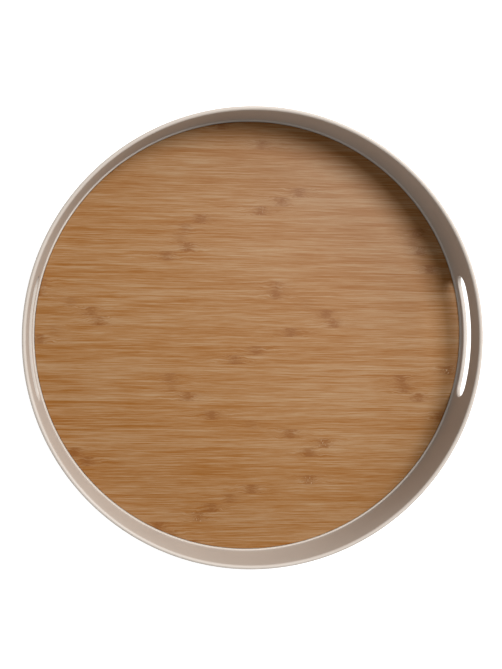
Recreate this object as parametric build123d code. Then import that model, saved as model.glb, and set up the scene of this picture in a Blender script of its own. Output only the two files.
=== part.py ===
from build123d import *
import os
from math import cos, radians, sqrt, tan

# Lazy susan turntable, in millimetres.
# A round tray with two hand slots and a bamboo panel turns on a ring of balls above a round base.
# The origin is the centre of the footprint, on the surface that the feet stand on. +Z is up, and the
# hand slots are at +X and -X.

# ---- Tray -------------------------------------------------------------------------------------
tray_diameter = 360.0  # over the rim
wall_thickness = 3.3
wall_draft = 3.0  # degrees, the wall leans outwards as it rises
well_depth = 46.0  # panel's face up to the rim's top
tray_floor_thickness = 2.5
outer_corner_radius = 6.0  # where the wall's outside meets the underside
inner_corner_radius = 0.6  # hollow corner where the wall's inside meets the ledge
ledge_width = 0.7  # flat ledge between that corner and the panel
ledge_rise = 0.2  # the ledge stands this much above the panel's face

slot_length = 98.0  # hand slot, end to end
slot_height = 18.0
slot_drop = 22.0  # rim's top down to the slot's upper edge
slot_edge_radius = 0.9

tray_rib_width = 1.8
tray_rib_height = 1.5  # radial ribs under the tray
outer_rib_count = 24  # between the base and the tray's wall
inner_rib_count = 12  # between the hub and the upper race
rib_margin = 4.0  # outer ribs to the base's outside, and to the rounded foot of the wall

# ---- Bamboo panel -----------------------------------------------------------------------------
panel_thickness = 5.0
panel_gap = 0.2  # radial gap to the ledge
panel_edge_radius = 0.4
tape_thickness = 0.6
tape_width = 18.0
tape_length = 100.0
tape_count = 6
tape_inset = 20.0  # tape's outer end to the panel's edge

# ---- Ball bearing -----------------------------------------------------------------------------
track_inset = 30.0  # the base's outside to the centre line of the balls
ball_radius = 3.175
ball_count = 24
groove_clearance = 0.075  # round a ball in its groove
race_width = 24.0
race_thickness = 1.2
race_gap = 3.15  # between the two races' flat faces
race_back_clearance = 0.775  # a groove's back to the tray's underside
race_edge_radius = 0.3
seat_clearance = 0.3  # beside the back of a race's groove
cage_width = 11.0
cage_thickness = 2.0
pocket_clearance = 0.1

race_screw_count = 6
race_screw_offset = 9.0  # from the track's centre line
screw_shank_radius = 1.25
screw_hole_radius = 1.6  # clearance hole in a race
screw_head_radius = 2.6
screw_head_height = 1.5
screw_length = 4.6  # under the head
screw_tip_gap = 0.3
screw_slot_width = 0.8  # arms of the cross recess
screw_slot_depth = 0.8

# ---- Base -------------------------------------------------------------------------------------
base_diameter = 250.0
base_wall_thickness = 2.6
base_draft = 2.0  # degrees, the base narrows as it rises
base_deck_thickness = 2.5
base_clearance = 2.0  # the base's bottom edge above the surface it stands on
base_depth = 10.0  # bottom edge up to the deck's top
base_corner_radius = 1.0
track_boss_width = 15.0  # thickened ring under the lower race's groove
track_boss_depth = 4.0
tray_gap = 2.5  # the base's lip up to the tray's underside
base_rib_count = 18
base_rib_width = 2.0
base_rib_clearance = 2.0  # ribs' bottoms above the base's bottom edge
ring_rib_radius = 50.0
boss_wall = 2.2  # wall round a screw hole

# ---- Feet -------------------------------------------------------------------------------------
foot_count = 6
foot_radius = 7.0
foot_pad_recess = 1.0  # how deep a foot's pad sits in the base
foot_stem_radius = 2.1
foot_stem_length = 4.5
foot_edge_radius = 0.6
foot_fit = 0.1  # gap round the pad and the stem
foot_boss_wall = 1.4
foot_inset = 1.3  # the base's inner wall to a foot's recess

# ---- Pivot ------------------------------------------------------------------------------------
shoulder_radius = 4.0
thread_radius = 3.0
shoulder_clearance = 0.04  # running fit in the bush
pivot_play = 0.1  # end play of the tray on its pivot
tray_hub_wall = 7.5  # round the insert
base_hub_wall = 5.0  # round the bush
base_hub_rise = 1.7  # above the base's deck
hub_insert_length = 6.0
hub_insert_wall = 1.5
hub_insert_groove = 0.4
bush_wall = 1.5
bush_flange_lip = 3.0
bush_flange_thickness = 1.2
pivot_washer_lip = 1.7  # beyond the screw's head
pivot_washer_thickness = 1.0
pivot_washer_fit = 0.15
pivot_head_lip = 2.8  # beyond the shoulder
pivot_head_height = 2.6
pivot_head_clearance = 0.6  # above the cap
hex_socket = 4.0  # across flats
hex_socket_depth = 1.5
pivot_thread_gap = 0.5  # thread's tip to the bottom of the insert's pocket
well_wall = 2.0
cap_radius = 16.0
cap_thickness = 1.4
cap_step = 1.2  # the cap's plug is this much smaller than its disc
cap_plug_height = 1.4
cap_plug_wall = 1.5
cap_fit = 0.1
pry_notch_radius = 2.5

# ---- Heights above the surface the turntable stands on -----------------------------------------
base_bottom = base_clearance
deck_top = base_bottom + base_depth
deck_bottom = deck_top - base_deck_thickness
groove_radius = ball_radius + groove_clearance
lower_race_face = deck_top + race_thickness
ball_height = lower_race_face + race_gap / 2
upper_race_face = ball_height + race_gap / 2
upper_race_seat = upper_race_face + race_thickness
tray_bottom = ball_height + groove_radius + race_thickness + race_back_clearance
lip_top = tray_bottom - tray_gap
tray_floor_top = tray_bottom + tray_floor_thickness
panel_bottom = tray_floor_top + tape_thickness
panel_top = panel_bottom + panel_thickness
rim_top = panel_top + well_depth
ledge_top = panel_top + ledge_rise
cap_bottom = base_bottom
cap_step_height = cap_bottom + cap_thickness
head_bottom = cap_step_height + pivot_head_clearance
washer_bottom = head_bottom + pivot_head_height
washer_top = washer_bottom + pivot_washer_thickness
bush_bottom = washer_top + pivot_play
bush_seat = deck_top + base_hub_rise
bush_top = bush_seat + bush_flange_thickness
hub_bottom = bush_top + pivot_play

# ---- Radii from the axis, and angles -------------------------------------------------------------
rim_radius = tray_diameter / 2
draft_slope = tan(radians(wall_draft))
wall_run = wall_thickness / cos(radians(wall_draft))  # the wall's thickness measured level


def wall_outside(height):
    """Radius of the tray wall's outer face at a height."""
    return rim_radius - (rim_top - wall_thickness / 2 - height) * draft_slope


def wall_inside(height):
    """Radius of the tray wall's inner face at a height."""
    return wall_outside(height) - wall_run


recess_radius = wall_inside(ledge_top) - inner_corner_radius - ledge_width
panel_radius = recess_radius - panel_gap
base_radius = base_diameter / 2
foot_recess_radius = foot_radius + foot_fit
foot_circle_radius = base_radius - base_wall_thickness - foot_inset - foot_recess_radius
track_radius = base_radius - track_inset
race_inner = track_radius - race_width / 2
race_outer = track_radius + race_width / 2
hub_insert_radius = thread_radius + hub_insert_wall
tray_hub_radius = hub_insert_radius + tray_hub_wall
bush_radius = shoulder_radius + shoulder_clearance + bush_wall
bush_flange_radius = bush_radius + bush_flange_lip
base_hub_radius = bush_radius + base_hub_wall
pivot_head_radius = shoulder_radius + pivot_head_lip
pivot_washer_radius = pivot_head_radius + pivot_washer_lip
well_radius = cap_radius + cap_fit
cell_angle = 360 / base_rib_count
half_cell = cell_angle / 2


def spun(outline):
    """A solid of revolution about Z from a closed outline whose X is radius and Y is height."""
    return revolve(Plane.XZ * outline, Axis.Z)


def outline_of(*points):
    return make_face(Polyline(*points, close=True))


def ring(inner, outer, low, high):
    """A plain ring or, with inner 0, a disc."""
    return spun(outline_of((inner, low), (outer, low), (outer, high), (inner, high)))


def around(radius, count, start=0.0):
    """Places evenly spaced on a circle, each turned so that its own X points outwards."""
    return PolarLocations(radius, count, start_angle=start)


def rod(radius, low, high, place):
    """An upright cylinder at a place on a circle."""
    return place * Pos(0, 0, low) * extrude(Circle(radius), high - low)


def groove_edge(radius, face_height):
    """Half the width that a groove of this radius opens at a level face."""
    return sqrt(radius**2 - (face_height - ball_height) ** 2)


# ---- Tray -------------------------------------------------------------------------------------
def tray_body():
    """The wall, floor and hub as one outline, spun round."""
    rim_centre = rim_top - wall_thickness / 2
    pocket_top = hub_bottom + hub_insert_length
    ledge_outer = recess_radius + ledge_width
    wall_foot = ledge_top + inner_corner_radius
    corner_top = tray_bottom + outer_corner_radius
    underside = Polyline(
        (hub_insert_radius, hub_bottom),
        (tray_hub_radius, hub_bottom),
        (tray_hub_radius, tray_bottom),
        (wall_outside(tray_bottom) - outer_corner_radius, tray_bottom),
    )
    corner = TangentArc(underside @ 1, (wall_outside(corner_top), corner_top), tangent=(1, 0))
    outer_wall = Line(corner @ 1, (wall_outside(rim_centre), rim_centre))
    rim = ThreePointArc(
        outer_wall @ 1,
        (rim_radius - wall_run / 2, rim_top),
        (wall_inside(rim_centre), rim_centre),
    )
    inner_wall = Line(rim @ 1, (wall_inside(wall_foot), wall_foot))
    hollow = TangentArc((ledge_outer, ledge_top), inner_wall @ 1, tangent=(1, 0))
    floor_side = Polyline(
        (ledge_outer, ledge_top),
        (recess_radius, ledge_top),
        (recess_radius, tray_floor_top),
        (0, tray_floor_top),
        (0, pocket_top),
        (hub_insert_radius, pocket_top),
        (hub_insert_radius, hub_bottom),
    )
    return spun(make_face([underside, corner, outer_wall, rim, inner_wall, hollow, floor_side]))


def radial_ribs(inner, outer, count, width, low, high):
    """Straight ribs from one radius to another."""
    rib = Box(outer - inner, width, high - low)
    middle = Pos(0, 0, (low + high) / 2)
    return [place * middle * rib for place in around((inner + outer) / 2, count)]


def race_seat():
    """Ring ribs and screw bosses that the upper race's flat back bears on."""
    high = tray_bottom + tray_floor_thickness / 2
    beside_groove = groove_edge(groove_radius + race_thickness, upper_race_seat) + seat_clearance
    inner_rib = race_width / 2 - tray_rib_width
    rings = []
    for offset in (-race_width / 2, -beside_groove - tray_rib_width, beside_groove, inner_rib):
        inner = track_radius + offset
        rings.append(ring(inner, inner + tray_rib_width, upper_race_seat, high))
    bosses = [
        rod(screw_shank_radius + boss_wall, upper_race_seat, high, place)
        for place in upper_race_circle()
    ]
    return rings + bosses


def hand_slots():
    """The cutter for both slots, straight along X as their side-action cores draw."""
    middle = rim_top - slot_drop - slot_height / 2
    profile = Plane.YZ * Pos(0, middle) * SlotOverall(slot_length, slot_height)
    return extrude(profile, tray_diameter, both=True)


def tray_shell():
    rib_low = tray_bottom - tray_rib_height
    rib_high = tray_bottom + tray_floor_thickness / 2
    outer_start = base_radius + rib_margin
    outer_end = wall_outside(tray_bottom) - outer_corner_radius - rib_margin
    screw_top = upper_race_face + screw_length + screw_tip_gap
    body = tray_body() + race_seat()
    inner_start = tray_hub_radius - tray_rib_width
    inner_end = race_inner + tray_rib_width / 2
    body += radial_ribs(inner_start, inner_end, inner_rib_count, tray_rib_width, rib_low, rib_high)
    body += radial_ribs(outer_start, outer_end, outer_rib_count, tray_rib_width, rib_low, rib_high)
    for place in upper_race_circle():
        body -= rod(screw_shank_radius, upper_race_seat - 1, screw_top, place)
    body -= hand_slots()
    slot_top = rim_top - slot_drop
    slot_rims = [
        edge
        for edge in body.edges()
        if slot_top - slot_height - 1 < edge.center().Z < slot_top + 1
        and edge.length > 1.5 * wall_thickness
    ]
    return fillet(slot_rims, slot_edge_radius)


def bamboo_panel():
    panel = ring(0, panel_radius, panel_bottom, panel_top)
    return fillet(panel.edges().sort_by(Axis.Z)[-1], panel_edge_radius)


def panel_tape():
    middle = panel_radius - tape_inset - tape_length / 2
    height = tray_floor_top + tape_thickness / 2
    strip = Pos(0, 0, height) * Box(tape_length, tape_width, tape_thickness)
    return Compound([place * strip for place in around(middle, tape_count)])


# ---- Races, balls and cage ----------------------------------------------------------------------
def race(face, back, screw_circle):
    """A pressed steel ring with a ball groove. face is the height of its flat ball side, and back of
    the other side."""
    away = 1 if back > face else -1
    front_edge = groove_edge(groove_radius, face)
    back_edge = groove_edge(groove_radius + race_thickness, back)
    front = [
        Line((race_inner, face), (track_radius - front_edge, face)),
        ThreePointArc(
            (track_radius - front_edge, face),
            (track_radius, ball_height + away * groove_radius),
            (track_radius + front_edge, face),
        ),
        Line((track_radius + front_edge, face), (race_outer, face)),
        Line((race_outer, face), (race_outer, back)),
    ]
    rear = [
        Line((race_outer, back), (track_radius + back_edge, back)),
        ThreePointArc(
            (track_radius + back_edge, back),
            (track_radius, ball_height + away * (groove_radius + race_thickness)),
            (track_radius - back_edge, back),
        ),
        Line((track_radius - back_edge, back), (race_inner, back)),
        Line((race_inner, back), (race_inner, face)),
    ]
    outline = make_face(front + rear)
    corners = outline.vertices().filter_by(lambda v: abs(abs(v.X - track_radius) - race_width / 2) < 0.01)
    solid = spun(fillet(corners, race_edge_radius))
    for place in screw_circle:
        solid -= rod(screw_hole_radius, min(face, back) - 1, max(face, back) + 1, place)
    return solid


def race_screw():
    """A pan-head screw, its head's underside at height 0 and its shank running down."""
    head = extrude(Circle(screw_head_radius), screw_head_height)
    head = fillet(head.edges().sort_by(Axis.Z)[-1], screw_head_height / 2)
    shank = extrude(Circle(screw_shank_radius), -screw_length)
    shank = chamfer(shank.edges().sort_by(Axis.Z)[0], screw_shank_radius / 3)
    arm = Box(screw_head_radius * 1.3, screw_slot_width, 2 * screw_slot_depth)
    recess = Pos(0, 0, screw_head_height) * (arm + Rot(0, 0, 90) * arm)
    return head + shank - recess


def upper_race_circle():
    return around(track_radius + race_screw_offset, race_screw_count)


def lower_race_circle():
    return around(track_radius - race_screw_offset, race_screw_count, cell_angle + half_cell)


def upper_race():
    return race(upper_race_face, upper_race_seat, upper_race_circle())


def lower_race():
    return race(lower_race_face, deck_top, lower_race_circle())


def upper_race_screws():
    screw = Pos(0, 0, upper_race_face) * Rot(180, 0, 0) * race_screw()
    return Compound([place * screw for place in upper_race_circle()])


def lower_race_screws():
    screw = Pos(0, 0, lower_race_face) * race_screw()
    return Compound([place * screw for place in lower_race_circle()])


def ball_places():
    return around(track_radius, ball_count)


def ball_cage():
    half = cage_thickness / 2
    cage = ring(
        track_radius - cage_width / 2,
        track_radius + cage_width / 2,
        ball_height - half,
        ball_height + half,
    )
    cage = chamfer(cage.edges(), cage_thickness / 5)
    pocket = Pos(0, 0, ball_height) * Sphere(ball_radius + pocket_clearance)
    for place in ball_places():
        cage -= place * pocket
    return cage


def balls():
    ball = Pos(0, 0, ball_height) * Sphere(ball_radius)
    return [place * ball for place in ball_places()]


# ---- Base -------------------------------------------------------------------------------------
def base_outside(height):
    """Radius of the base's outer wall at a height."""
    return base_radius - (height - base_bottom) * tan(radians(base_draft))


def base_body():
    """The deck, wall, hub and cap well as one outline, spun round."""
    wall = base_wall_thickness
    boss_inner = track_radius - track_boss_width / 2
    boss_outer = track_radius + track_boss_width / 2
    boss_bottom = deck_top - track_boss_depth
    channel = groove_radius + race_thickness + seat_clearance
    channel_edge = groove_edge(channel, deck_top)
    well_outer = well_radius + well_wall
    lower = Polyline(
        (bush_radius, bush_seat),
        (bush_radius, bush_bottom),
        (base_hub_radius, bush_bottom),
        (base_hub_radius, deck_bottom),
        (well_radius - cap_step, deck_bottom),
        (well_radius - cap_step, cap_step_height),
        (well_radius, cap_step_height),
        (well_radius, base_bottom),
        (well_outer, base_bottom),
        (well_outer, deck_bottom),
        (boss_inner, deck_bottom),
        (boss_inner, boss_bottom),
        (boss_outer, boss_bottom),
        (boss_outer, deck_bottom),
        (base_outside(deck_bottom) - wall, deck_bottom),
        (base_outside(base_bottom) - wall, base_bottom),
        (base_outside(base_bottom), base_bottom),
        (base_outside(lip_top), lip_top),
        (base_outside(lip_top) - wall, lip_top),
        (base_outside(deck_top) - wall, deck_top),
        (track_radius + channel_edge, deck_top),
    )
    groove = ThreePointArc(
        lower @ 1,
        (track_radius, ball_height - channel),
        (track_radius - channel_edge, deck_top),
    )
    upper = Polyline(
        groove @ 1,
        (base_hub_radius, deck_top),
        (base_hub_radius, bush_seat),
        (bush_radius, bush_seat),
    )
    face = make_face([lower, groove, upper])
    outer_edges = face.vertices().filter_by(
        lambda v: v.X > base_radius - wall - 2 and (v.Y < base_bottom + 0.01 or v.Y > lip_top - 0.01)
    )
    return spun(fillet(outer_edges, base_corner_radius))


def base_ribs():
    """Radial ribs from the cap well to the outer wall, and one ring rib."""
    low = base_bottom + base_rib_clearance
    inner = well_radius + well_wall / 2
    outer = base_outside(deck_bottom) - base_wall_thickness / 2
    ring_inner = ring_rib_radius - base_rib_width / 2
    ribs = radial_ribs(inner, outer, base_rib_count, base_rib_width, low, deck_bottom)
    return ribs + [ring(ring_inner, ring_inner + base_rib_width, low, deck_bottom)]


def foot_places():
    return around(foot_circle_radius, foot_count, half_cell)


def base_shell():
    pad_top = base_bottom + foot_pad_recess
    stem_top = pad_top + foot_stem_length + foot_fit
    screw_bottom = lower_race_face - screw_length - screw_tip_gap
    shell = base_body() + base_ribs()
    for place in foot_places():
        shell += rod(foot_recess_radius + foot_boss_wall, base_bottom, deck_bottom, place)
    for place in lower_race_circle():
        shell += rod(screw_shank_radius + boss_wall, screw_bottom - boss_wall / 2, deck_bottom, place)
    for place in foot_places():
        shell -= rod(foot_recess_radius, base_bottom - 1, pad_top, place)
        shell -= rod(foot_stem_radius + foot_fit, pad_top, stem_top, place)
    for place in lower_race_circle():
        shell -= rod(screw_shank_radius, screw_bottom, deck_top + 1, place)
    return shell


def feet():
    """Push-in rubber feet: a pad with a rounded lower edge and a stem."""
    pad_top = base_bottom + foot_pad_recess
    pad = extrude(Circle(foot_radius), pad_top)
    pad = fillet(pad.edges().sort_by(Axis.Z)[0], foot_edge_radius)
    stem = Pos(0, 0, pad_top) * extrude(Circle(foot_stem_radius), foot_stem_length)
    stem = chamfer(stem.edges().sort_by(Axis.Z)[-1], foot_stem_radius / 3)
    return [place * (pad + stem) for place in foot_places()]


# ---- Pivot ------------------------------------------------------------------------------------
def hub_insert():
    """Brass insert with two grooves that the hub's plastic grips."""
    insert = ring(thread_radius, hub_insert_radius, hub_bottom, hub_bottom + hub_insert_length)
    land = hub_insert_length / 5
    for low in (hub_bottom + land, hub_bottom + 3 * land):
        insert -= ring(hub_insert_radius - hub_insert_groove, hub_insert_radius + 1, low, low + land)
    return insert


def pivot_screw():
    """Shoulder screw from below: head, shoulder in the bush, thread in the insert."""
    thread_top = hub_bottom + hub_insert_length - pivot_thread_gap
    screw = spun(
        outline_of(
            (0, head_bottom),
            (pivot_head_radius, head_bottom),
            (pivot_head_radius, washer_bottom),
            (shoulder_radius, washer_bottom),
            (shoulder_radius, hub_bottom),
            (thread_radius, hub_bottom),
            (thread_radius, thread_top),
            (0, thread_top),
        )
    )
    low_edge = screw.edges().sort_by(Axis.Z)[0]
    screw = fillet(low_edge, pivot_head_height / 3)
    hexagon = RegularPolygon(hex_socket / 2, 6, major_radius=False)
    return screw - Pos(0, 0, head_bottom) * extrude(hexagon, hex_socket_depth)


def pivot_washer():
    inner = shoulder_radius + pivot_washer_fit
    return ring(inner, pivot_washer_radius, washer_bottom, washer_top)


def pivot_bush():
    bore = shoulder_radius + shoulder_clearance
    return spun(
        outline_of(
            (bore, bush_bottom),
            (bush_radius, bush_bottom),
            (bush_radius, bush_seat),
            (bush_flange_radius, bush_seat),
            (bush_flange_radius, bush_top),
            (bore, bush_top),
        )
    )


def centre_cap():
    """Snap-in cover: a disc flush with the base's bottom edge, and a hollow plug."""
    plug_outer = cap_radius - cap_step
    plug_inner = plug_outer - cap_plug_wall
    plug_top = cap_step_height + cap_plug_height
    cap = ring(0, cap_radius, cap_bottom, cap_step_height)
    cap += ring(plug_inner, plug_outer, cap_step_height, plug_top)
    notch = Pos(cap_radius, 0, cap_bottom) * Sphere(pry_notch_radius)
    return cap - notch


def write(name, shape):
    export_step(shape, f"parts/{name}.step")


def main():
    os.makedirs("parts", exist_ok=True)
    single = [
        tray_shell,
        bamboo_panel,
        panel_tape,
        upper_race,
        upper_race_screws,
        hub_insert,
        pivot_screw,
        pivot_washer,
        ball_cage,
        lower_race,
        lower_race_screws,
        base_shell,
        pivot_bush,
        centre_cap,
    ]
    for make in single:
        write(make.__name__, make())
    for number, ball in enumerate(balls(), start=1):
        write(f"ball_{number:02d}", ball)
    for number, foot in enumerate(feet(), start=1):
        write(f"foot_{number}", foot)


main()
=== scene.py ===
from math import atan2, cos, degrees, floor, hypot, pi, radians, sin, sqrt, tan

import bmesh
import bpy
from mathutils import Matrix, Vector


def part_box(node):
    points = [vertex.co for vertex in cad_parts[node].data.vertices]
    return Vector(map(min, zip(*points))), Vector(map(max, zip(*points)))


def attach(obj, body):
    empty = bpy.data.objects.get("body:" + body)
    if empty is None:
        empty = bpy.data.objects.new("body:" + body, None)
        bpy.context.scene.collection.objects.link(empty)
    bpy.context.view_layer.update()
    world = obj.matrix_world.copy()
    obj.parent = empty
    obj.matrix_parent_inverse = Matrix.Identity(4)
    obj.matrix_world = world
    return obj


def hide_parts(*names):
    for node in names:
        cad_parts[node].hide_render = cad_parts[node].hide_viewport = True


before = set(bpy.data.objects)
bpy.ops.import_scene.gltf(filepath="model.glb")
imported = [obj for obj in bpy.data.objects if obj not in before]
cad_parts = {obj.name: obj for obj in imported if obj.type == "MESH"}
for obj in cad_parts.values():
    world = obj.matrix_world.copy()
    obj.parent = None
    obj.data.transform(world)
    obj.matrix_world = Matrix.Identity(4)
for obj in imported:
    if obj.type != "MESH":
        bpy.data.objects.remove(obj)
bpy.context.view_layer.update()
print("frame loaded")


# everything is modelled in millimetres and scaled to metres when a piece is finished
def boxOf(node):
    low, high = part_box(node)
    return low * 1000, high * 1000


def newMaterial(name, **values):
    material = bpy.data.materials.new(name)
    material.use_nodes = True
    material.node_tree.nodes.clear()
    shader = material.node_tree.nodes.new("ShaderNodeBsdfPrincipled")
    output = material.node_tree.nodes.new("ShaderNodeOutputMaterial")
    material.node_tree.links.new(shader.outputs["BSDF"], output.inputs["Surface"])
    for socket, value in values.items():
        shader.inputs[socket.replace("_", " ")].default_value = value
    return material, shader


def addNode(material, kind, inputs, **settings):
    node = material.node_tree.nodes.new(kind)
    for setting, value in settings.items():
        setattr(node, setting, value)
    for socket, value in inputs.items():
        if isinstance(value, bpy.types.NodeSocket):
            material.node_tree.links.new(value, node.inputs[socket])
        else:
            node.inputs[socket].default_value = value
    return node


def calc(material, operation, *values):
    inputs = dict(enumerate(values))
    return addNode(material, "ShaderNodeMath", inputs, operation=operation).outputs[0]


def spread(material, value, fromLow, fromHigh, toLow=0.0, toHigh=1.0):
    inputs = {"Value": value, "From Min": fromLow, "From Max": fromHigh}
    inputs.update({"To Min": toLow, "To Max": toHigh})
    return addNode(material, "ShaderNodeMapRange", inputs).outputs["Result"]


def blendColours(material, amount, first, second):
    inputs = {0: amount, 6: first, 7: second}
    return addNode(material, "ShaderNodeMix", inputs, data_type="RGBA").outputs[2]


def placeInMm(material):
    coordinates = addNode(material, "ShaderNodeTexCoord", {}).outputs["Object"]
    inputs = {"Vector": coordinates, "Scale": (1000, 1000, 1000)}
    return addNode(material, "ShaderNodeMapping", inputs).outputs["Vector"]


def stretched(material, place, scale):
    inputs = {"Vector": place, "Scale": scale}
    return addNode(material, "ShaderNodeMapping", inputs).outputs["Vector"]


def noise(material, place, size, detail=2.0, roughness=0.5):
    inputs = {"Vector": place, "Scale": 1 / size, "Detail": detail, "Roughness": roughness}
    return addNode(material, "ShaderNodeTexNoise", inputs).outputs[0]


def feed(material, value, shader, socket):
    material.node_tree.links.new(value, shader.inputs[socket])


def addBump(material, shader, height, depthMm, strength=1.0):
    inputs = {"Height": height, "Distance": depthMm / 1000, "Strength": strength}
    feed(material, addNode(material, "ShaderNodeBump", inputs).outputs["Normal"], shader, "Normal")


sharpFrom = 35  # degrees between two faces


def finishPiece(name, bm, material, body, replaced):
    bmesh.ops.scale(bm, vec=(0.001, 0.001, 0.001), verts=bm.verts)
    mesh = bpy.data.meshes.new(name)
    bm.to_mesh(mesh)
    bm.free()
    mesh.polygons.foreach_set("use_smooth", [True] * len(mesh.polygons))
    mesh.set_sharp_from_angle(angle=radians(sharpFrom))
    mesh.materials.append(material)
    piece = bpy.data.objects.new(name, mesh)
    bpy.context.collection.objects.link(piece)
    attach(piece, body)
    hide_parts(*replaced)
    print("made", name, "with", len(mesh.polygons), "faces")


def dress(names, material):
    for name in names:
        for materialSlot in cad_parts[name].material_slots:
            materialSlot.material = material
    print("dressed", len(names), "with", material.name)


def wire(bm, outline):
    # an outline of radius, height and corner radius, ready to spin
    verts = [bm.verts.new((radius, 0, height)) for radius, height, corner in outline]
    for start, end in zip(verts, verts[1:]):
        bm.edges.new((start, end))
    return [(vert, corner) for vert, (radius, height, corner) in zip(verts, outline) if corner]


def roundCorners(bm, corners, steps):
    for vert, radius in corners:
        bmesh.ops.bevel(
            bm, geom=[vert], offset=radius, offset_type="OFFSET", affect="VERTICES",
            segments=steps, profile=0.5, material=-1,
        )


def spinRound(bm, columns):
    bmesh.ops.spin(
        bm, geom=bm.verts[:] + bm.edges[:], cent=(0, 0, 0), axis=(0, 0, 1),
        angle=2 * pi, steps=columns, use_merge=True,
    )
    bmesh.ops.remove_doubles(bm, verts=bm.verts[:], dist=0.002)
    bmesh.ops.recalc_face_normals(bm, faces=bm.faces[:])


def addBlock(bm, length, width, low, high, radius, angle):
    # an upright block whose middle is at a place round the axis, its long side pointing out
    shape = Matrix.Diagonal((length, width, high - low, 1))
    place = Matrix.Rotation(angle, 4, "Z") @ Matrix.Translation((radius, 0, (low + high) / 2))
    bmesh.ops.create_cube(bm, size=1, matrix=place @ shape)


def addPost(bm, radius, low, high, distance, angle, steps=24):
    place = Matrix.Rotation(angle, 4, "Z") @ Matrix.Translation((distance, 0, (low + high) / 2))
    bmesh.ops.create_cone(
        bm, cap_ends=True, segments=steps, radius1=radius, radius2=radius,
        depth=high - low, matrix=place,
    )


cameraLook = {
    "place": (-0.1130, 0.0520, 1.0215),  # from the middle of the rim's top
    "aim": (-0.0045, 0.0040, 0.0),
    "lens": 71.46,
}


def makeCamera():
    rimMiddle = Vector((0, 0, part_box("tray_shell")[1].z))
    place = rimMiddle + Vector(cameraLook["place"])
    back = (place - rimMiddle - Vector(cameraLook["aim"])).normalized()
    across = Vector((0, 1, 0)).cross(back).normalized()
    data = bpy.data.cameras.new("camera")
    data.lens = cameraLook["lens"]
    camera = bpy.data.objects.new("camera", data)
    bpy.context.collection.objects.link(camera)
    turned = Matrix((across, back.cross(across), back)).transposed().to_4x4()
    camera.matrix_world = Matrix.Translation(place) @ turned
    bpy.context.scene.camera = camera
    print("camera set")


makeCamera()


studioLook = {
    "floorSize": 40.0,
    "floorTone": (0.5, 0.5, 0.5, 1),
    "floorGlow": 0.80,  # lit from below, as a light table is
    "domeStrength": 0.42,
    "lights": {  # watts, size and distance in metres, degrees from +X, degrees from straight above
        "keyLight": (184.0, 1.73, 4.0, 42.0, 29.0),
        "lowLight": (22.0, 1.2, 2.2, 42.0, 64.0),
        "fillLight": (3.5, 1.4, 1.9, 245.0, 52.0),
    },
}


def makeFloor():
    bm = bmesh.new()
    bmesh.ops.create_grid(bm, x_segments=1, y_segments=1, size=studioLook["floorSize"] / 2)
    mesh = bpy.data.meshes.new("floor")
    bm.to_mesh(mesh)
    bm.free()
    material, shader = newMaterial(
        "lightTable", Base_Color=studioLook["floorTone"], Roughness=0.9,
        Emission_Color=(1, 1, 1, 1), Emission_Strength=studioLook["floorGlow"],
    )
    mesh.materials.append(material)
    floorPiece = bpy.data.objects.new("floor", mesh)
    bpy.context.collection.objects.link(floorPiece)


def addLight(name, watts, size, distance, bearing, lean):
    bearing, lean = radians(bearing), radians(lean)
    towards = Vector((cos(bearing) * sin(lean), sin(bearing) * sin(lean), cos(lean)))
    light = bpy.data.lights.new(name, "AREA")
    light.shape = "DISK"
    light.size = size
    light.energy = watts
    lamp = bpy.data.objects.new(name, light)
    lamp.location = towards * distance
    lamp.rotation_euler = towards.to_track_quat("Z", "Y").to_euler()
    bpy.context.collection.objects.link(lamp)


def makeStudio():
    makeFloor()
    world = bpy.data.worlds.new("studioDome")
    world.use_nodes = True
    background = world.node_tree.nodes["Background"]
    background.inputs["Color"].default_value = (1, 1, 1, 1)
    background.inputs["Strength"].default_value = studioLook["domeStrength"]
    bpy.context.scene.world = world
    for name, values in studioLook["lights"].items():
        addLight(name, *values)
    bpy.context.scene.view_settings.view_transform = "Standard"
    print("studio lit")


makeStudio()


taupeLook = {
    "tone": (0.395, 0.345, 0.30, 1),
    "paleTone": (0.42, 0.37, 0.325, 1),
    "mottleSize": 55.0,
    "grainSize": 0.45,  # spark-etched mould texture
    "grainDepth": 0.012,
    "roughness": (0.48, 0.58),
}


def makeTaupePlastic():
    look = taupeLook
    material, shader = newMaterial("taupePlastic")
    place = placeInMm(material)
    grain = noise(material, place, look["grainSize"])
    mottle = spread(material, noise(material, place, look["mottleSize"], 4.0), 0.35, 0.65)
    colour = blendColours(material, mottle, look["tone"], look["paleTone"])
    feed(material, colour, shader, "Base Color")
    feed(material, spread(material, grain, 0.3, 0.7, *look["roughness"]), shader, "Roughness")
    addBump(material, shader, grain, look["grainDepth"])
    return material


taupePlastic = makeTaupePlastic()


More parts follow.
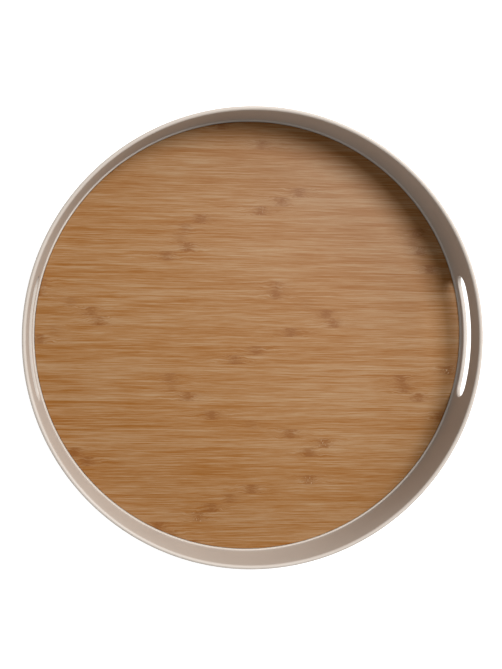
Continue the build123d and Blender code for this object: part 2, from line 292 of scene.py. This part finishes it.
# tray shell: wall, floor and hub spun in one, with two hand slots and the ribs under it
trayLook = {
    "wall": 3.3,
    "draft": 3.0,  # degrees
    "floor": 2.5,
    "footRound": 6.0,
    "hollow": 0.6,  # radius of the corner between ledge and wall
    "ledgeRound": 0.12,
    "ledgeRise": 0.2,
    "panelGap": 0.2,
    "columns": 360,
    "roundSteps": 8,
    "raceThickness": 1.2,
    "toothWidth": 1.8,
    "toothBesideGroove": 3.78,
    "raceInside": 83.0,
    "insertRadius": 4.5,
    "hubRadius": 12.0,
    "hubRound": 0.4,
    "pocketDepth": 6.0,
    "slotLength": 98.0,
    "slotHeight": 18.0,
    "slotDrop": 22.0,  # rim's top to the slot's upper edge
    "slotRound": 0.9,
    "slotRoundSteps": 4,
    "slotBorder": 0.5,  # flat ring outside the rounding
    "slotRows": 10,
    "slotMargin": 4.0,
    "slotReach": 19.0,  # degrees either side of the slot's middle that are rebuilt
    "ribWidth": 1.8,
    "ribDepth": 1.5,
    "outerRibs": (24, 129.0, 167.2),  # how many, from and to which radius
    "innerRibs": (12, 10.2, 83.9),
    "bosses": (6, 3.45, 104.0),  # how many, their radius and their circle's
}
trayLow, trayHigh = boxOf("tray_shell")
panelLow, panelHigh = boxOf("bamboo_panel")
floorTop = boxOf("panel_tape")[0].z
trayBottom = floorTop - trayLook["floor"]
raceSeat = boxOf("upper_race")[0].z + trayLook["raceThickness"]
slotMiddle = trayHigh.z - trayLook["slotDrop"] - trayLook["slotHeight"] / 2


def wallOutside(height):
    fromTop = trayHigh.z - trayLook["wall"] / 2 - height
    return trayHigh.x - fromTop * tan(radians(trayLook["draft"]))


def wallInside(height):
    return wallOutside(height) - trayLook["wall"] / cos(radians(trayLook["draft"]))


def seatTeeth():
    # four ring ribs that the upper race bears on, from the outside in
    raceOutside, raceInside = boxOf("upper_race")[1].x, trayLook["raceInside"]
    track = (raceOutside + raceInside) / 2
    width, beside = trayLook["toothWidth"], trayLook["toothBesideGroove"]
    teeth = []
    for start in (raceOutside, track + beside + width, track - beside, raceInside + width):
        teeth += [(start, trayBottom, 0), (start, raceSeat, 0)]
        teeth += [(start - width, raceSeat, 0), (start - width, trayBottom, 0)]
    return teeth


def trayOutline():
    look = trayLook
    reach = look["slotHeight"] / 2 + look["slotMargin"]
    steps = range(look["slotRows"] + 1)
    rows = [slotMiddle + reach * (2 * row / look["slotRows"] - 1) for row in steps]
    ledgeTop = panelHigh.z + look["ledgeRise"]
    recess = panelHigh.x + look["panelGap"]
    full = look["wall"] * 0.499  # a hair under half, so that the rim's two roundings don't meet
    outline = [(0, floorTop, 0), (recess, floorTop, 0), (recess, ledgeTop, look["ledgeRound"])]
    outline += [(wallInside(ledgeTop), ledgeTop, look["hollow"])]
    outline += [(wallInside(height), height, 0) for height in rows]
    outline += [(wallInside(trayHigh.z), trayHigh.z, full)]
    outline += [(wallOutside(trayHigh.z), trayHigh.z, full)]
    outline += [(wallOutside(height), height, 0) for height in reversed(rows)]
    outline += [(wallOutside(trayBottom), trayBottom, look["footRound"])]
    outline += seatTeeth()
    pocketTop = trayLow.z + look["pocketDepth"]
    outline += [(look["hubRadius"], trayBottom, 0)]
    outline += [(look["hubRadius"], trayLow.z, look["hubRound"])]
    outline += [(look["insertRadius"], trayLow.z, 0), (look["insertRadius"], pocketTop, 0)]
    return outline + [(0, pocketTop, 0)]


def openWall(bm, side, wallAt):
    # takes one wall surface's faces away round the slot and gives the edges left open
    reach = trayLook["slotHeight"] / 2 + trayLook["slotMargin"]
    lost = []
    for face in bm.faces:
        middle = face.calc_center_median()
        bearing = abs(degrees(atan2(middle.y, side * middle.x)))
        onWall = abs(hypot(middle.x, middle.y) - wallAt(middle.z)) < 0.5
        if onWall and bearing < trayLook["slotReach"] and abs(middle.z - slotMiddle) < reach:
            lost.append(face)
    bmesh.ops.delete(bm, geom=lost, context="FACES")
    return [edge for edge in bm.edges if edge.is_boundary]


def slotRing(bm, edges, side, wallAt, intoWall, beyond, sunk):
    # one more loop round the slot, this far beyond its outline and sunk this deep into the wall
    made = bmesh.ops.extrude_edge_only(bm, edges=edges)["geom"]
    straight = (trayLook["slotLength"] - trayLook["slotHeight"]) / 2
    for vert in (part for part in made if isinstance(part, bmesh.types.BMVert)):
        nearest = max(-straight, min(straight, vert.co.y))
        away = Vector((vert.co.y - nearest, vert.co.z - slotMiddle)).normalized()
        across = nearest + away.x * (trayLook["slotHeight"] / 2 + beyond)
        height = slotMiddle + away.y * (trayLook["slotHeight"] / 2 + beyond)
        radius = wallAt(height) + intoWall * sunk
        vert.co = (side * sqrt(radius ** 2 - across ** 2), across, height)
    return [part for part in made if isinstance(part, bmesh.types.BMEdge) and part.is_boundary]


def cutHandSlot(bm, side):
    rounding, steps = trayLook["slotRound"], trayLook["slotRoundSteps"]
    rims = []
    for wallAt, intoWall in ((wallInside, 1), (wallOutside, -1)):
        edges = [edge for edge in openWall(bm, side, wallAt) if edge not in rims]
        edges = slotRing(bm, edges, side, wallAt, intoWall, rounding + trayLook["slotBorder"], 0)
        for step in range(steps + 1):
            turn = pi / 2 * step / steps
            beyond, sunk = rounding * (1 - sin(turn)), rounding * (1 - cos(turn))
            edges = slotRing(bm, edges, side, wallAt, intoWall, beyond, sunk)
        rims += edges
    bmesh.ops.bridge_loops(bm, edges=rims)


def addUnderside(bm):
    look = trayLook
    low, high = trayBottom - look["ribDepth"], trayBottom + look["floor"] / 2
    for count, start, end in (look["outerRibs"], look["innerRibs"]):
        for index in range(count):
            angle = 2 * pi * index / count
            addBlock(bm, end - start, look["ribWidth"], low, high, (start + end) / 2, angle)
    count, radius, circle = look["bosses"]
    for index in range(count):
        addPost(bm, radius, raceSeat, high, circle, 2 * pi * index / count)


def makeTrayShell():
    bm = bmesh.new()
    corners = wire(bm, trayOutline())
    roundCorners(bm, corners, trayLook["roundSteps"])
    spinRound(bm, trayLook["columns"])
    for side in (1, -1):
        cutHandSlot(bm, side)
    bmesh.ops.recalc_face_normals(bm, faces=bm.faces[:])
    addUnderside(bm)
    finishPiece("trayShell", bm, taupePlastic, "tray", ["tray_shell"])


makeTrayShell()


# bamboo panel: a disc of glued laths with their own grain and knots
bambooLook = {
    "columns": 360,
    "topRound": 0.4,
    "lathWidth": 7.53,
    "lathStart": 0.2,  # a seam's distance from the middle
    "lathTurn": -0.9,  # degrees between the laths and X
    "tone": (0.240, 0.112, 0.036, 1),
    "darkTone": (0.194, 0.068, 0.006, 1),
    "paleTone": (0.286, 0.172, 0.086, 1),
    "knotTone": (0.165, 0.058, 0.010, 1),
    "fleckTone": (0.40, 0.30, 0.19, 1),
    "lacquer": (0.46, 0.54),  # roughness, from and to
    "toneSpread": 0.50,  # between the darkest and the palest lath
    "hairs": ((0.034, 2.1, 1), 5.6),  # how the fibres are stretched, and their strength
    "streaks": ((0.018, 0.80, 1), 3.4),
    "bands": ((0.008, 0.20, 1), 1.4),
    "clouds": (60.0, 0.8),  # size and strength
    "fibreBend": (0.06, 0.55),  # everywhere, and more beside a knot
    "tailStain": 0.26,
    "coreStain": 0.10,
    "knotSpacing": 190.0,  # between the joints of one cane
    "knotDrift": 62.0,  # how far the knots wander along from lath to lath
    "driftTurn": (0.41, 0.9),  # the wander's step from lath to lath, and its start
    "knotWobble": 16.0,
    "knotsShown": (0.16, 0.44),  # below the first a knot is too faint to see
    "knotFade": (-0.040, -0.0032, -0.45),  # how fast the patch, the tails and the core fade
    "knotRagged": ((0.35, 1.1, 1), 3.2),  # how its outline is stretched and how far it strays
}


def knotMarks(material, place, along, own):
    # how strongly the closest knot of this lath shows: a soft patch, its tails and its core
    look = bambooLook
    half = look["knotSpacing"] / 2
    raggedness, stray = look["knotRagged"]
    ragged = noise(material, stretched(material, place, raggedness), 1.0)
    ragged = spread(material, ragged, 0.3, 0.7, -stray, stray)
    offset = calc(material, "SUBTRACT", along, own["knotPlace"])
    number = calc(material, "ROUND", calc(material, "DIVIDE", offset, look["knotSpacing"]))
    away = calc(material, "ADD", calc(material, "WRAP", offset, half, -half), ragged)
    square = calc(material, "MULTIPLY", away, away)
    key = {"X": calc(material, "MULTIPLY", own["lathSeed"], 91.0), "Y": number}
    key = {"Vector": addNode(material, "ShaderNodeCombineXYZ", key).outputs["Vector"]}
    chance = addNode(material, "ShaderNodeTexWhiteNoise", key).outputs["Value"]
    strength = spread(material, chance, *look["knotsShown"])
    shown = []
    for steepness in look["knotFade"]:
        mark = calc(material, "EXPONENT", calc(material, "MULTIPLY", square, steepness))
        shown.append(calc(material, "MULTIPLY", mark, strength))
    return shown


def makeBamboo():
    look = bambooLook
    material, shader = newMaterial("lacqueredBamboo", Specular_IOR_Level=0.22)
    turned = {"Vector": placeInMm(material), "Rotation": (0, 0, radians(-look["lathTurn"]))}
    place = addNode(material, "ShaderNodeMapping", turned).outputs["Vector"]
    axes = addNode(material, "ShaderNodeSeparateXYZ", {"Vector": place})
    along, across = axes.outputs["X"], axes.outputs["Y"]
    own = {}
    for name in ("lathTone", "lathSeed", "knotPlace"):
        own[name] = addNode(material, "ShaderNodeAttribute", {}, attribute_name=name).outputs["Fac"]
    patch, tails, core = knotMarks(material, place, along, own)

    # fibres run along the lath, shifted lath by lath, and wander round the knots
    wander = noise(material, stretched(material, place, (0.09, 0.22, 1)), 1.0, 1.0)
    wander = spread(material, wander, 0.3, 0.7, -2.0, 2.0)
    everywhere, byKnots = look["fibreBend"]
    bend = calc(material, "MULTIPLY_ADD", tails, byKnots, everywhere)
    bent = calc(material, "MULTIPLY_ADD", wander, bend, across)
    inputs = {
        "X": calc(material, "MULTIPLY_ADD", own["lathSeed"], 700.0, along),
        "Y": bent,
        "Z": calc(material, "MULTIPLY", own["lathSeed"], 90.0),
    }
    fibres = addNode(material, "ShaderNodeCombineXYZ", inputs).outputs["Vector"]
    hairs = noise(material, stretched(material, fibres, look["hairs"][0]), 1.0, 3.0, 0.7)
    streaks = noise(material, stretched(material, fibres, look["streaks"][0]), 1.0, 4.0, 0.7)
    bands = noise(material, stretched(material, fibres, look["bands"][0]), 1.0, 2.0)
    clouds = noise(material, place, look["clouds"][0], 2.0)

    grain = own["lathTone"]
    layers = {"streaks": streaks, "hairs": hairs, "bands": bands, "clouds": clouds}
    for name, layer in layers.items():
        middled = calc(material, "SUBTRACT", layer, 0.5)
        grain = calc(material, "MULTIPLY_ADD", middled, look[name][1], grain)
    darker = spread(material, grain, 0.0, -1.0)
    paler = spread(material, grain, 0.0, 1.0)
    colour = blendColours(material, darker, look["tone"], look["darkTone"])
    colour = blendColours(material, paler, colour, look["paleTone"])

    streaky = spread(material, streaks, 0.60, 0.38, 0.15, 1.0)
    stain = calc(material, "MULTIPLY", patch, spread(material, streaks, 0.65, 0.35, 0.36, 0.82))
    streakyTails = calc(material, "MULTIPLY", tails, streaky)
    stain = calc(material, "MULTIPLY_ADD", streakyTails, look["tailStain"], stain)
    stain = calc(material, "MULTIPLY_ADD", core, look["coreStain"], stain)
    colour = blendColours(material, calc(material, "MINIMUM", stain, 0.9), colour, look["knotTone"])
    speck = noise(material, stretched(material, place, (0.9, 0.45, 1)), 1.0, 0.0)
    rare = spread(material, own["lathSeed"], 0.72, 1.10)  # only some laths have open pores
    fleck = calc(material, "MULTIPLY", patch, rare)
    fleck = calc(material, "MULTIPLY", fleck, spread(material, speck, 0.68, 0.76))
    colour = blendColours(material, fleck, colour, look["fleckTone"])
    feed(material, colour, shader, "Base Color")
    feed(material, spread(material, hairs, 0.3, 0.7, *look["lacquer"]), shader, "Roughness")
    addBump(material, shader, calc(material, "ADD", hairs, streaks), 0.02, 0.6)
    return material


def lathSideways():
    turn = radians(bambooLook["lathTurn"])
    return Vector((-sin(turn), cos(turn), 0))


def makeBambooPanel():
    look = bambooLook
    bm = bmesh.new()
    bmesh.ops.create_circle(bm, cap_ends=True, segments=look["columns"], radius=panelHigh.x)
    made = bmesh.ops.extrude_face_region(bm, geom=bm.faces[:])["geom"]
    raised = [part for part in made if isinstance(part, bmesh.types.BMVert)]
    bmesh.ops.translate(bm, vec=(0, 0, panelHigh.z - panelLow.z), verts=raised)
    bmesh.ops.translate(bm, vec=(0, 0, panelLow.z), verts=bm.verts[:])
    nearTop = panelHigh.z - 0.1
    topEdges = [edge for edge in bm.edges if min(vert.co.z for vert in edge.verts) > nearTop]
    bmesh.ops.bevel(
        bm, geom=topEdges, offset=look["topRound"], offset_type="OFFSET", affect="EDGES",
        segments=3, profile=0.5, material=-1,
    )
    sideways = lathSideways()
    seams = floor(panelHigh.x / look["lathWidth"]) + 1
    for seam in range(-seams, seams + 1):
        bmesh.ops.bisect_plane(
            bm, geom=bm.verts[:] + bm.edges[:] + bm.faces[:], dist=0.0001, plane_no=sideways,
            plane_co=sideways * (look["lathStart"] + seam * look["lathWidth"]),
        )
    bmesh.ops.recalc_face_normals(bm, faces=bm.faces[:])
    markLaths(bm)
    finishPiece("bambooPanel", bm, makeBamboo(), "tray", ["bamboo_panel"])


def markLaths(bm):
    look = bambooLook
    names = ("lathTone", "lathSeed", "knotPlace")
    layers = {name: bm.faces.layers.float.new(name) for name in names}
    step, start = look["driftTurn"]
    for face in bm.faces:
        sideways = face.calc_center_median().dot(lathSideways())
        lath = floor((sideways - look["lathStart"]) / look["lathWidth"])
        wanderer = (lath * 0.6180339 + 0.31) % 1.0  # steps that don't come round again
        seed = (lath * 0.7548777) % 1.0
        drift = look["knotDrift"] * sin(lath * step + start)
        face[layers["lathTone"]] = look["toneSpread"] * (wanderer - 0.5)
        face[layers["lathSeed"]] = seed
        face[layers["knotPlace"]] = drift + look["knotWobble"] * (2 * seed - 1)


makeBambooPanel()


# finishes of the bearing and the pivot; marks is the turned marks' share, beside the blotches
metalLook = {
    "pressedSteel": {
        "tones": ((0.56, 0.56, 0.57, 1), (0.68, 0.68, 0.67, 1)),
        "roughness": (0.24, 0.42), "marks": 0.7, "blotch": 9.0,
    },
    "zincPlate": {
        "tones": ((0.52, 0.54, 0.58, 1), (0.70, 0.70, 0.66, 1)),
        "roughness": (0.22, 0.40), "marks": 0.3, "blotch": 3.0,
    },
    "bearingSteel": {
        "tones": ((0.66, 0.66, 0.67, 1), (0.74, 0.74, 0.75, 1)),
        "roughness": (0.06, 0.13), "marks": 0.2, "blotch": 2.0,
    },
    "turnedBrass": {
        "tones": ((0.60, 0.40, 0.15, 1), (0.78, 0.56, 0.25, 1)),
        "roughness": (0.22, 0.38), "marks": 0.6, "blotch": 4.0,
    },
    "markWidth": 0.35,
}
softLook = {
    "nylon": ((0.66, 0.63, 0.54, 1), (0.74, 0.71, 0.63, 1)),
    "nylonRoughness": (0.36, 0.50),
    "nylonFlow": 6.0,
    "nylonGrain": 0.4,
    "rubber": ((0.022, 0.022, 0.023, 1), (0.050, 0.049, 0.047, 1)),
    "rubberRoughness": (0.62, 0.82),
    "rubberDust": 2.4,
    "rubberGrain": 0.3,
    "foam": ((0.62, 0.62, 0.59, 1), (0.80, 0.80, 0.77, 1)),
    "foamCell": 0.5,
}


def makeMetal(name):
    # marks run round the turning axis, and blotches vary the plating
    look = metalLook[name]
    marks = look["marks"]
    material, shader = newMaterial(name, Metallic=1.0)
    place = placeInMm(material)
    axes = addNode(material, "ShaderNodeSeparateXYZ", {"Vector": place})
    square = calc(material, "MULTIPLY", axes.outputs["X"], axes.outputs["X"])
    square = calc(material, "MULTIPLY_ADD", axes.outputs["Y"], axes.outputs["Y"], square)
    radius = {"X": calc(material, "SQRT", square), "Y": axes.outputs["Z"]}
    turned = addNode(material, "ShaderNodeCombineXYZ", radius).outputs["Vector"]
    lines = noise(material, turned, metalLook["markWidth"], 3.0, 0.6)
    patches = noise(material, place, look["blotch"], 4.0, 0.6)
    amount = calc(material, "MULTIPLY", patches, 1 - marks)
    amount = calc(material, "MULTIPLY_ADD", lines, marks, amount)
    amount = spread(material, amount, 0.35, 0.65)
    feed(material, blendColours(material, amount, *look["tones"]), shader, "Base Color")
    feed(material, spread(material, amount, 0.0, 1.0, *look["roughness"]), shader, "Roughness")
    addBump(material, shader, lines, 0.01, 0.5)
    return material


def makeNylon():
    material, shader = newMaterial("naturalNylon", Subsurface_Weight=0.12, Subsurface_Scale=0.001)
    place = placeInMm(material)
    flow = noise(material, stretched(material, place, (1, 1, 0.3)), softLook["nylonFlow"], 4.0)
    grain = noise(material, place, softLook["nylonGrain"])
    amount = spread(material, flow, 0.35, 0.65)
    feed(material, blendColours(material, amount, *softLook["nylon"]), shader, "Base Color")
    roughness = spread(material, grain, 0.3, 0.7, *softLook["nylonRoughness"])
    feed(material, roughness, shader, "Roughness")
    addBump(material, shader, grain, 0.01, 0.6)
    return material


def makeRubber():
    material, shader = newMaterial("footRubber", Specular_IOR_Level=0.35)
    place = placeInMm(material)
    dust = noise(material, place, softLook["rubberDust"], 4.0, 0.65)
    grain = noise(material, place, softLook["rubberGrain"])
    amount = spread(material, dust, 0.42, 0.70)
    feed(material, blendColours(material, amount, *softLook["rubber"]), shader, "Base Color")
    roughness = spread(material, grain, 0.3, 0.7, *softLook["rubberRoughness"])
    feed(material, roughness, shader, "Roughness")
    addBump(material, shader, grain, 0.02, 0.8)
    return material


def makeFoam():
    material, shader = newMaterial("foamTape", Roughness=0.9)
    inputs = {"Vector": placeInMm(material), "Scale": 1 / softLook["foamCell"]}
    cells = addNode(material, "ShaderNodeTexVoronoi", inputs).outputs["Distance"]
    amount = spread(material, cells, 0.1, 0.7)
    feed(material, blendColours(material, amount, *softLook["foam"]), shader, "Base Color")
    addBump(material, shader, cells, 0.05, 0.8)
    return material


def dressRest():
    balls = [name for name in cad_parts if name.startswith("ball_") and name != "ball_cage"]
    feet = [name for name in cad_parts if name.startswith("foot_")]
    screws = ["upper_race_screws", "lower_race_screws", "pivot_screw", "pivot_washer"]
    dress(["upper_race", "lower_race"], makeMetal("pressedSteel"))
    dress(screws, makeMetal("zincPlate"))
    dress(balls, makeMetal("bearingSteel"))
    dress(["hub_insert"], makeMetal("turnedBrass"))
    dress(["ball_cage", "pivot_bush"], makeNylon())
    dress(feet, makeRubber())
    dress(["panel_tape"], makeFoam())
    dress(["base_shell", "centre_cap"], taupePlastic)


dressRest()
